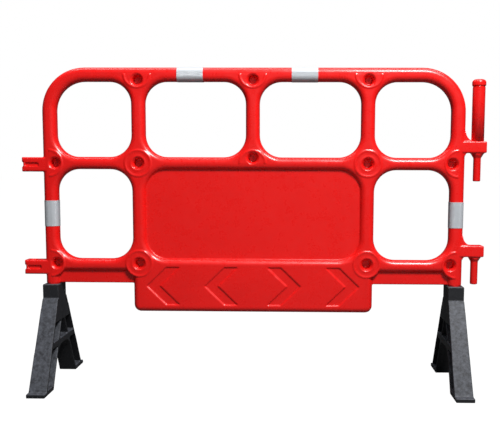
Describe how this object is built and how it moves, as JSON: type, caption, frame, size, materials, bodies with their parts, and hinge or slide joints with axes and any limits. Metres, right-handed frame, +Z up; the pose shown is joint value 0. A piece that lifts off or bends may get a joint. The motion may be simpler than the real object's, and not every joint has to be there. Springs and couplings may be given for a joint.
{
  "type": "interlocking plastic crowd barrier",
  "caption": "Blow-moulded plastic barrier: open lattice over a recessed panel and chevron board, hook-on ends, lamp post and swivelling A-frame feet.",
  "frame": {"origin": "on the ground, in the middle of the barrier's length and depth", "axes": "+X along the barrier from the lug end to the pin end, -Y towards the front face, +Z up"},
  "size_m": [1.5, 0.4, 1.0309],
  "materials": {
    "red_hdpe": "glossy blow-moulded HDPE",
    "reflective_film": "white retroreflective film",
    "black_rubber": "matt moulded rubber, scuffed",
    "zinc_steel": "zinc-plated",
    "brass_insert": "knurled, moulded in"
  },
  "bodies": {
    "panel": {"barrier_panel": "red_hdpe", "reflective_sleeve_top_left": "reflective_film", "reflective_sleeve_top_right": "reflective_film", "reflective_sleeve_side_left": "reflective_film", "reflective_sleeve_side_right": "reflective_film", "left_stub_insert": "brass_insert", "right_stub_insert": "brass_insert", "left_foot_bolt": "zinc_steel", "right_foot_bolt": "zinc_steel", "left_foot_washer": "zinc_steel", "right_foot_washer": "zinc_steel"},
    "left_foot": {"left_foot": "black_rubber"},
    "right_foot": {"right_foot": "black_rubber"},
    "post": {"lamp_post": "red_hdpe"},
    "post_cap": {"lamp_post_cap": "red_hdpe"}
  },
  "joints": [
    {"name": "left_foot_swivel", "type": "hinge", "parent": "panel", "child": "left_foot", "pos_m": [-0.66, 0, 0.27], "axis": [0, 0, 1], "continuous": true},
    {"name": "right_foot_swivel", "type": "hinge", "parent": "panel", "child": "right_foot", "pos_m": [0.66, 0, 0.27], "axis": [0, 0, 1], "continuous": true},
    {"name": "post_lift", "type": "slide", "parent": "panel", "child": "post", "axis": [0, 0, 1], "range_m": [0, 0.04]},
    {"name": "cap_pull", "type": "slide", "parent": "post", "child": "post_cap", "axis": [0, 0, 1], "range_m": [0, 0.03]}
  ]
}
